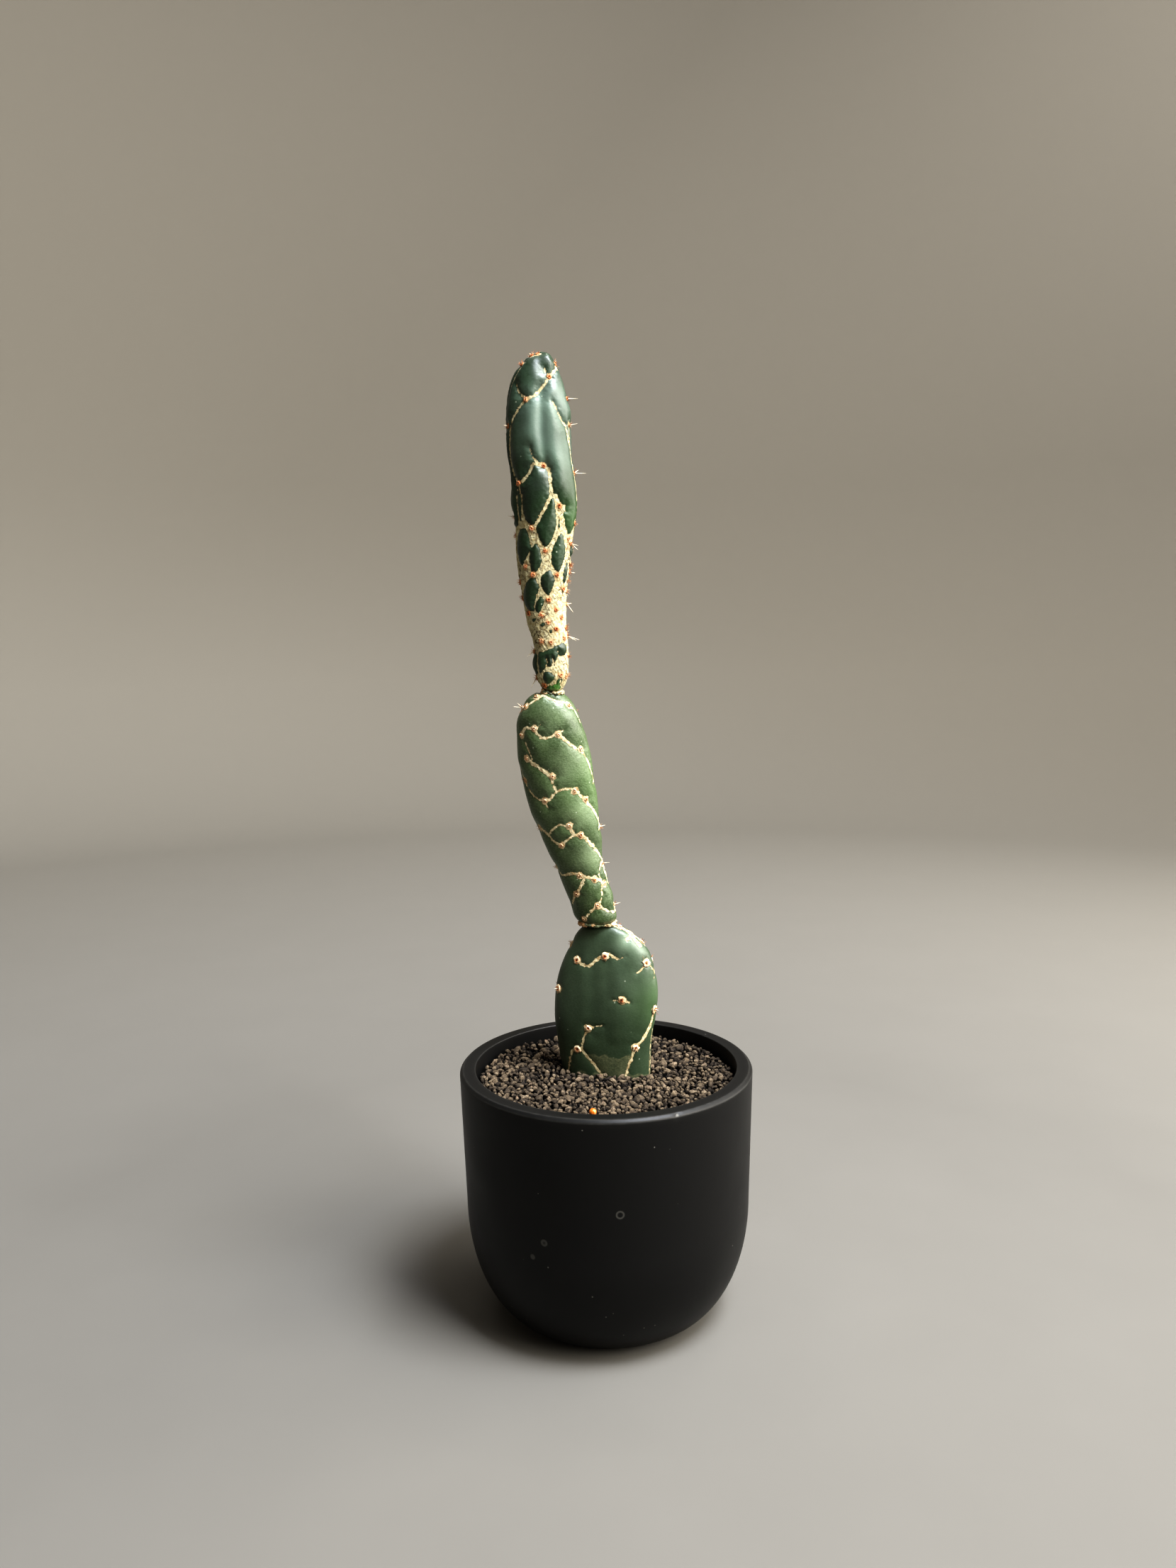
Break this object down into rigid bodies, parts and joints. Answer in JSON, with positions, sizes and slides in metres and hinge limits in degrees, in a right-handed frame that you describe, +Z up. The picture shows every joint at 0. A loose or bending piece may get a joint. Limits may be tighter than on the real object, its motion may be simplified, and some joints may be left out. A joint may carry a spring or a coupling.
{
  "type": "potted cactus",
  "caption": "Jointed paddle cactus of stacked flat stem pads with corky skin lines and short spines, in a round-bottomed pot topped with volcanic gravel.",
  "frame": {"origin": "centre of the pot's foot, on the surface it stands on", "axes": "+Z up along the pot's axis and the plant's height, +X to the right and -Y towards the viewer when the pads' broad faces are seen"},
  "size_m": [0.105, 0.105, 0.339],
  "materials": {
    "pot_shell": "matt black moulded",
    "potting_mix": "damp dark peat and bark crumb",
    "gravel": "rough broken pumice and lava",
    "prill_coating": "glossy resin coat",
    "root_bark": "fibrous bark",
    "basal_pad_skin": "waxy dark green with cork lines",
    "middle_pad_skin": "waxy mid green with cork lines",
    "top_pad_skin": "waxy blue green cells in cream cork",
    "spines": "rust brown felt and pale spines"
  },
  "bodies": {
    "root": {"pot": "pot_shell", "potting_mix": "potting_mix", "gravel_top_dressing": "gravel", "fertiliser_prill": "prill_coating", "roots": "root_bark", "basal_pad": "basal_pad_skin", "middle_pad": "middle_pad_skin", "top_pad": "top_pad_skin", "basal_pad_spines_01": "spines", "basal_pad_spines_02": "spines", "basal_pad_spines_03": "spines", "basal_pad_spines_04": "spines", "basal_pad_spines_05": "spines", "basal_pad_spines_06": "spines", "basal_pad_spines_07": "spines", "middle_pad_spines_01": "spines", "middle_pad_spines_02": "spines", "middle_pad_spines_03": "spines", "middle_pad_spines_04": "spines", "middle_pad_spines_05": "spines", "middle_pad_spines_06": "spines", "middle_pad_spines_07": "spines", "top_pad_spines_01": "spines", "top_pad_spines_02": "spines", "top_pad_spines_03": "spines", "top_pad_spines_04": "spines", "top_pad_spines_05": "spines", "top_pad_spines_06": "spines", "top_pad_spines_07": "spines", "top_pad_spines_08": "spines", "top_pad_spines_09": "spines", "top_pad_spines_10": "spines", "top_pad_spines_11": "spines", "top_pad_spines_12": "spines", "top_pad_spines_13": "spines", "top_pad_spines_14": "spines", "top_pad_spines_15": "spines"}
  },
  "joints": []
}
